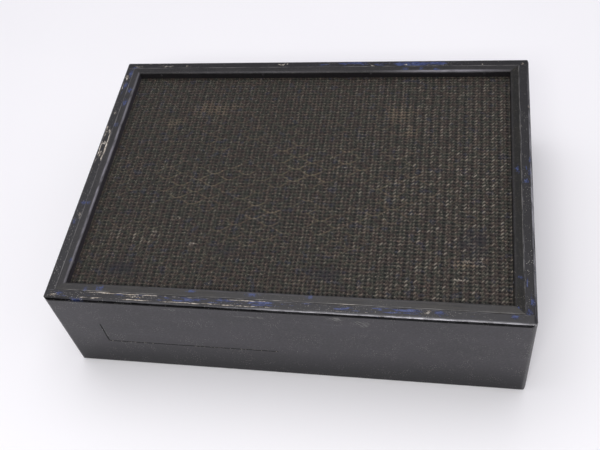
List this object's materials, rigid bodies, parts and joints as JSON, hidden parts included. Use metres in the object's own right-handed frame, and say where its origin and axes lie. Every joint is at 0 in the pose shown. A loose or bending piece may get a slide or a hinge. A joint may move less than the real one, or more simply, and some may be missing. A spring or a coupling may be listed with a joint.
{
  "type": "loudspeaker cabinet",
  "caption": "Shallow closed-back wooden loudspeaker cabinet with cone drivers behind a recessed woven grille cloth, mitred front strips and a jack plate at the back.",
  "frame": {"origin": "middle of the plane of the rear edges, on which the cabinet lies on its back", "axes": "+Z out of the grille, +X along the long side, -Y towards the board with the filled cut-out (the top in use)"},
  "size_m": [0.71, 0.518, 0.19],
  "materials": {
    "painted_board": "satin black household paint over blue paint over bare plywood, chipped at the edges",
    "painted_strip": "satin black paint, rubbed lighter along the inner arris",
    "painted_back": "thin matt black paint on plywood",
    "bare_wood": "unpainted softwood",
    "plywood": "unpainted plywood, edges showing its layers",
    "nail_steel": "steel painted over in black",
    "staple_wire": "plain wire",
    "grille_fabric": "coarse woven grille cloth with a lozenge figure, darkened",
    "screw_steel": "dull zinc plate",
    "plate_steel": "bare and dulled",
    "plated_metal": "dulled nickel plate",
    "spring_brass": "plain",
    "lead_cover": "plain",
    "basket_paint": "hammered paint",
    "gasket_card": "plain",
    "cone_paper": "felted pulp",
    "coil_copper": "enamelled copper winding on a paper former",
    "spider_cloth": "resin-dipped cloth",
    "ferrite": "ground ferrite",
    "terminal_board": "paper-based laminate with tinned tags",
    "tinsel": "braided tinsel"
  },
  "bodies": {
    "cabinet": {"top_panel": "painted_board", "bottom_panel": "painted_board", "left_side": "painted_board", "right_side": "painted_board", "cutout_infill": "painted_board", "infill_backing": "bare_wood", "front_strip_top": "painted_strip", "front_strip_bottom": "painted_strip", "front_strip_left": "painted_strip", "front_strip_right": "painted_strip", "strip_nails": "nail_steel", "grille_rail_top": "bare_wood", "grille_rail_bottom": "bare_wood", "grille_rail_left": "bare_wood", "grille_rail_right": "bare_wood", "grille_cloth": "grille_fabric", "cloth_staples": "staple_wire", "baffle": "plywood", "baffle_screws": "screw_steel", "baffle_cleat_top": "bare_wood", "baffle_cleat_bottom": "bare_wood", "baffle_cleat_left": "bare_wood", "baffle_cleat_right": "bare_wood", "back_cleats_long": "bare_wood", "back_cleats_short": "bare_wood", "back_panel": "painted_back", "back_screws": "screw_steel", "jack_plate": "plate_steel", "jack_plate_screws": "screw_steel", "jack_socket": "plated_metal", "jack_nut": "plated_metal", "jack_lead": "lead_cover", "link_lead": "lead_cover", "tee_nuts": "screw_steel", "driver_bolts": "screw_steel", "driver_left_basket": "basket_paint", "driver_left_gasket": "gasket_card", "driver_left_surround": "cone_paper", "driver_left_spider": "spider_cloth", "driver_left_top_plate": "plate_steel", "driver_left_magnet": "ferrite", "driver_left_back_plate": "plate_steel", "driver_left_terminals": "terminal_board", "driver_left_tinsel_leads": "tinsel", "driver_right_basket": "basket_paint", "driver_right_gasket": "gasket_card", "driver_right_surround": "cone_paper", "driver_right_spider": "spider_cloth", "driver_right_top_plate": "plate_steel", "driver_right_magnet": "ferrite", "driver_right_back_plate": "plate_steel", "driver_right_terminals": "terminal_board", "driver_right_tinsel_leads": "tinsel"},
    "cone_left": {"driver_left_cone": "cone_paper", "driver_left_dust_cap": "cone_paper", "driver_left_voice_coil": "coil_copper"},
    "cone_right": {"driver_right_cone": "cone_paper", "driver_right_dust_cap": "cone_paper", "driver_right_voice_coil": "coil_copper"},
    "tip_contact": {"jack_tip_contact": "spring_brass"}
  },
  "joints": [
    {"name": "cone_left_travel", "type": "slide", "parent": "cabinet", "child": "cone_left", "axis": [0, 0, 1], "range_m": [-0.003, 0.003], "stiffness_N_per_m": 6000, "deforming": ["driver_left_surround", "driver_left_spider", "driver_left_tinsel_leads"]},
    {"name": "cone_right_travel", "type": "slide", "parent": "cabinet", "child": "cone_right", "axis": [0, 0, 1], "range_m": [-0.003, 0.003], "stiffness_N_per_m": 6000, "deforming": ["driver_right_surround", "driver_right_spider", "driver_right_tinsel_leads"]},
    {"name": "tip_contact_flex", "type": "hinge", "parent": "cabinet", "child": "tip_contact", "pos_m": [0.0055, 0.15, 0.017], "axis": [0, 1, 0], "range_deg": [0, 13], "stiffness_Nm_per_rad": 0.08}
  ]
}
